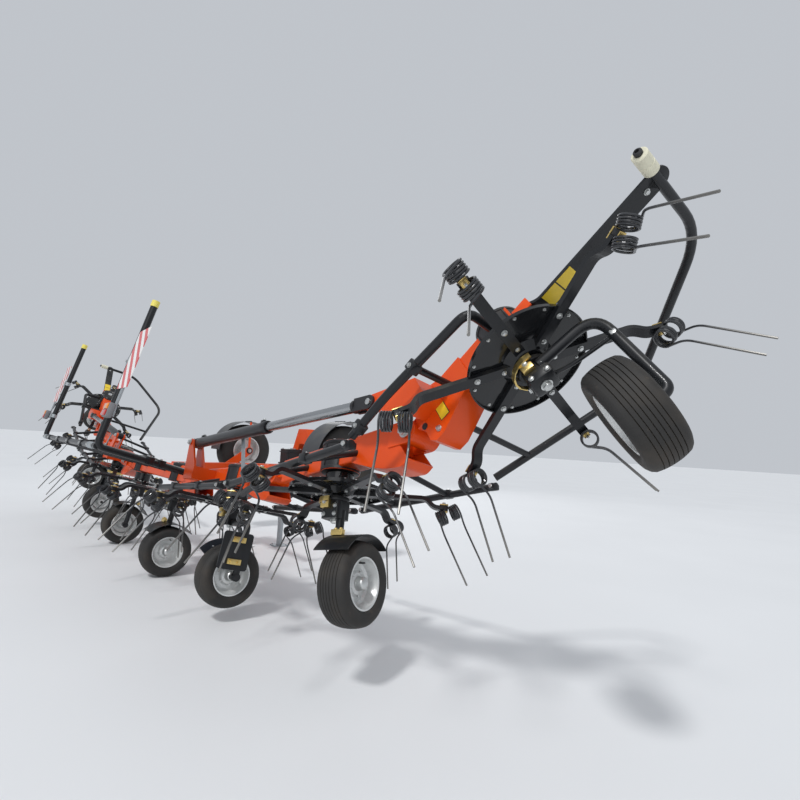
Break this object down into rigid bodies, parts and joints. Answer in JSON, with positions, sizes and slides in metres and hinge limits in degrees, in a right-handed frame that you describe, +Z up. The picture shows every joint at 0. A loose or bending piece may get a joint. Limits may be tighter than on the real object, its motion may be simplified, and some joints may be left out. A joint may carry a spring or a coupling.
{
  "type": "hay tedder",
  "caption": "Trailed hay tedder: rows of tined rotors on ground wheels under wings folded at three hinges a side, raised tips, transport axle, parking stand and three-point headstock.",
  "frame": {"origin": "on the floor under the middle of the rotor wheels' axle line", "axes": "+X to the machine's right, +Y forward to the tractor, +Z up"},
  "size_m": [9.8661, 2.5122, 2.2452],
  "materials": {
    "frame_paint": "gloss orange-red paint",
    "black_paint": "satin black paint",
    "gearbox_paint": "painted casting",
    "rod_chrome": "polished rod",
    "zinc_steel": "zinc plated",
    "tyre_rubber": "dusty rubber",
    "rim_silver": "silver paint",
    "cap_yellow": "plastic",
    "board_white": "reflective sheet",
    "lamp_red": "lens",
    "roller_cream": "plastic"
  },
  "bodies": {
    "chassis": {"centre_beam": "frame_paint", "centre_wheel_legs": "black_paint", "drawbar": "frame_paint", "main_gearbox": "gearbox_paint", "rear_guard": "black_paint", "guard_caps": "cap_yellow", "marker_boards": "board_white", "tail_lamps": "lamp_red"},
    "parking_stand": {"parking_stand": "zinc_steel"},
    "transport_axle": {"transport_axle": "frame_paint"},
    "transport_wheel_right": {"transport_tyre_right": "tyre_rubber", "transport_rim_right": "rim_silver"},
    "transport_wheel_left": {"transport_tyre_left": "tyre_rubber", "transport_rim_left": "rim_silver"},
    "inner_wing_right": {"inner_wing_beam_right": "frame_paint", "inner_wing_leg_and_rails_right": "black_paint"},
    "outer_wing_right": {"outer_wing_beam_right": "frame_paint", "outer_wing_leg_and_rails_right": "black_paint"},
    "tip_right": {"tip_beam_right": "frame_paint", "tip_wheel_leg_right": "black_paint", "tip_guard_right": "black_paint", "tip_roller_right": "roller_cream"},
    "fold_cylinder_right": {"fold_cylinder_right": "black_paint"},
    "fold_rod_right": {"fold_rod_right": "rod_chrome"},
    "inner_wing_left": {"inner_wing_beam_left": "frame_paint", "inner_wing_leg_and_rails_left": "black_paint"},
    "outer_wing_left": {"outer_wing_beam_left": "frame_paint", "outer_wing_leg_and_rails_left": "black_paint"},
    "tip_left": {"tip_beam_left": "frame_paint", "tip_wheel_leg_left": "black_paint", "tip_guard_left": "black_paint", "tip_roller_left": "roller_cream"},
    "fold_cylinder_left": {"fold_cylinder_left": "black_paint"},
    "fold_rod_left": {"fold_rod_left": "rod_chrome"},
    "rotor_1": {"rotor_1": "black_paint"},
    "wheel_1": {"tyre_1": "tyre_rubber", "rim_1": "rim_silver"},
    "rotor_2": {"rotor_2": "black_paint"},
    "wheel_2": {"tyre_2": "tyre_rubber", "rim_2": "rim_silver"},
    "rotor_3": {"rotor_3": "black_paint"},
    "wheel_3": {"tyre_3": "tyre_rubber", "rim_3": "rim_silver"},
    "rotor_4": {"rotor_4": "black_paint"},
    "wheel_4": {"tyre_4": "tyre_rubber", "rim_4": "rim_silver"},
    "rotor_5": {"rotor_5": "black_paint"},
    "wheel_5": {"tyre_5": "tyre_rubber", "rim_5": "rim_silver"},
    "rotor_6": {"rotor_6": "black_paint"},
    "wheel_6": {"tyre_6": "tyre_rubber", "rim_6": "rim_silver"},
    "rotor_7": {"rotor_7": "black_paint"},
    "wheel_7": {"tyre_7": "tyre_rubber", "rim_7": "rim_silver"},
    "rotor_8": {"rotor_8": "black_paint"},
    "wheel_8": {"tyre_8": "tyre_rubber", "rim_8": "rim_silver"}
  },
  "joints": [
    {"name": "wing_fold_right", "type": "hinge", "parent": "chassis", "child": "inner_wing_right", "pos_m": [1.2, -0.39116, 0.81873], "axis": [0, -0.9744, 0.225], "range_deg": [-9, 74]},
    {"name": "outer_fold_right", "type": "hinge", "parent": "inner_wing_right", "child": "outer_wing_right", "pos_m": [2.39343, -0.36294, 0.94094], "axis": [0, -0.9744, 0.225], "range_deg": [-9.39, 10.89]},
    {"name": "tip_fold_right", "type": "hinge", "parent": "outer_wing_right", "child": "tip_right", "pos_m": [3.55778, -0.29763, 1.22381], "axis": [0, 0.9744, -0.225], "range_deg": [-42, 36]},
    {"name": "fold_cylinder_swing_right", "type": "hinge", "parent": "inner_wing_right", "child": "fold_cylinder_right", "pos_m": [1.26494, -0.53134, 1.1006], "axis": [0, -0.9744, 0.225], "range_deg": [-2.18, 2.53]},
    {"name": "fold_rod_slide_right", "type": "slide", "parent": "fold_cylinder_right", "child": "fold_rod_right", "axis": [0.9922, 0.0281, 0.1217], "range_m": [-0.12153, 0.10479]},
    {"name": "wing_fold_left", "type": "hinge", "parent": "chassis", "child": "inner_wing_left", "pos_m": [-1.2, -0.39116, 0.81873], "axis": [0, 0.9744, -0.225], "range_deg": [-9, 74]},
    {"name": "outer_fold_left", "type": "hinge", "parent": "inner_wing_left", "child": "outer_wing_left", "pos_m": [-2.39343, -0.36294, 0.94094], "axis": [0, 0.9744, -0.225], "range_deg": [-9.39, 10.89]},
    {"name": "tip_fold_left", "type": "hinge", "parent": "outer_wing_left", "child": "tip_left", "pos_m": [-3.55778, -0.29763, 1.22381], "axis": [0, -0.9744, 0.225], "range_deg": [-42, 36]},
    {"name": "fold_cylinder_swing_left", "type": "hinge", "parent": "inner_wing_left", "child": "fold_cylinder_left", "pos_m": [-1.26494, -0.53134, 1.1006], "axis": [0, 0.9744, -0.225], "range_deg": [-2.18, 2.53]},
    {"name": "fold_rod_slide_left", "type": "slide", "parent": "fold_cylinder_left", "child": "fold_rod_left", "axis": [-0.9922, 0.0281, 0.1217], "range_m": [-0.12153, 0.10479]},
    {"name": "stand_swing", "type": "hinge", "parent": "chassis", "child": "parking_stand", "pos_m": [0, 0.896, 0.65], "axis": [0, -1, 0], "range_deg": [0, 90]},
    {"name": "transport_axle_lift", "type": "hinge", "parent": "chassis", "child": "transport_axle", "pos_m": [0, 0.366, 0.62], "axis": [1, 0, 0], "range_deg": [-62, 0]},
    {"name": "transport_wheel_spin_right", "type": "hinge", "parent": "transport_axle", "child": "transport_wheel_right", "pos_m": [1.15, 0.89186, 1.00206], "axis": [1, 0, 0], "continuous": true},
    {"name": "transport_wheel_spin_left", "type": "hinge", "parent": "transport_axle", "child": "transport_wheel_left", "pos_m": [-1.15, 0.89186, 1.00206], "axis": [1, 0, 0], "continuous": true},
    {"name": "rotor_spin_1", "type": "hinge", "parent": "tip_right", "child": "rotor_1", "pos_m": [4.09204, -0.22516, 1.53774], "axis": [-0.7314, 0.1534, 0.6645], "continuous": true},
    {"name": "wheel_spin_1", "type": "hinge", "parent": "tip_right", "child": "wheel_1", "pos_m": [4.53313, -0.22736, 1.32546], "axis": [0.6522, 0.4422, 0.6157], "continuous": true},
    {"name": "rotor_spin_2", "type": "hinge", "parent": "outer_wing_right", "child": "rotor_2", "pos_m": [3.01697, -0.36761, 0.92071], "axis": [-0.2419, 0.2183, 0.9454], "continuous": true},
    {"name": "wheel_spin_2", "type": "hinge", "parent": "outer_wing_right", "child": "wheel_2", "pos_m": [3.27398, -0.41633, 0.50694], "axis": [0.9279, 0.3369, 0.1597], "continuous": true},
    {"name": "rotor_spin_3", "type": "hinge", "parent": "inner_wing_right", "child": "rotor_3", "pos_m": [1.81459, -0.4153, 0.71413], "axis": [-0.1045, 0.2237, 0.969], "continuous": true},
    {"name": "wheel_spin_3", "type": "hinge", "parent": "inner_wing_right", "child": "wheel_3", "pos_m": [2.01823, -0.51544, 0.28039], "axis": [0.9945, 0.0235, 0.1018], "continuous": true},
    {"name": "rotor_spin_4", "type": "hinge", "parent": "chassis", "child": "rotor_4", "pos_m": [0.6, -0.42962, 0.65211], "axis": [0, 0.225, 0.9744], "continuous": true},
    {"name": "wheel_spin_4", "type": "hinge", "parent": "chassis", "child": "wheel_4", "pos_m": [0.756, -0.534, 0.2], "axis": [1, 0, 0], "continuous": true},
    {"name": "rotor_spin_5", "type": "hinge", "parent": "chassis", "child": "rotor_5", "pos_m": [-0.6, -0.42962, 0.65211], "axis": [0, 0.225, 0.9744], "continuous": true},
    {"name": "wheel_spin_5", "type": "hinge", "parent": "chassis", "child": "wheel_5", "pos_m": [-0.756, -0.534, 0.2], "axis": [1, 0, 0], "continuous": true},
    {"name": "rotor_spin_6", "type": "hinge", "parent": "inner_wing_left", "child": "rotor_6", "pos_m": [-1.81459, -0.4153, 0.71413], "axis": [0.1045, 0.2237, 0.969], "continuous": true},
    {"name": "wheel_spin_6", "type": "hinge", "parent": "inner_wing_left", "child": "wheel_6", "pos_m": [-2.01823, -0.51544, 0.28039], "axis": [0.9945, -0.0235, -0.1018], "continuous": true},
    {"name": "rotor_spin_7", "type": "hinge", "parent": "outer_wing_left", "child": "rotor_7", "pos_m": [-3.01697, -0.36761, 0.92071], "axis": [0.2419, 0.2183, 0.9454], "continuous": true},
    {"name": "wheel_spin_7", "type": "hinge", "parent": "outer_wing_left", "child": "wheel_7", "pos_m": [-3.27398, -0.41633, 0.50694], "axis": [0.9279, -0.3369, -0.1597], "continuous": true},
    {"name": "rotor_spin_8", "type": "hinge", "parent": "tip_left", "child": "rotor_8", "pos_m": [-4.09204, -0.22516, 1.53774], "axis": [0.7314, 0.1534, 0.6645], "continuous": true},
    {"name": "wheel_spin_8", "type": "hinge", "parent": "tip_left", "child": "wheel_8", "pos_m": [-4.53313, -0.22736, 1.32546], "axis": [0.6522, -0.4422, -0.6157], "continuous": true}
  ],
  "couplings": [
    {"joint": "rotor_spin_1", "follows": "rotor_spin_4", "ratio": -1},
    {"joint": "rotor_spin_2", "follows": "rotor_spin_4", "ratio": 1},
    {"joint": "rotor_spin_3", "follows": "rotor_spin_4", "ratio": -1},
    {"joint": "rotor_spin_5", "follows": "rotor_spin_4", "ratio": -1},
    {"joint": "rotor_spin_6", "follows": "rotor_spin_4", "ratio": 1},
    {"joint": "rotor_spin_7", "follows": "rotor_spin_4", "ratio": -1},
    {"joint": "rotor_spin_8", "follows": "rotor_spin_4", "ratio": 1},
    {"joint": "outer_fold_right", "follows": "tip_fold_right", "ratio": -0.25},
    {"joint": "fold_cylinder_swing_right", "follows": "tip_fold_right", "ratio": -0.058157},
    {"joint": "fold_rod_slide_right", "follows": "tip_fold_right", "m_per_rad": 0.15985},
    {"joint": "outer_fold_left", "follows": "tip_fold_left", "ratio": -0.25},
    {"joint": "fold_cylinder_swing_left", "follows": "tip_fold_left", "ratio": -0.058157},
    {"joint": "fold_rod_slide_left", "follows": "tip_fold_left", "m_per_rad": 0.15985}
  ]
}
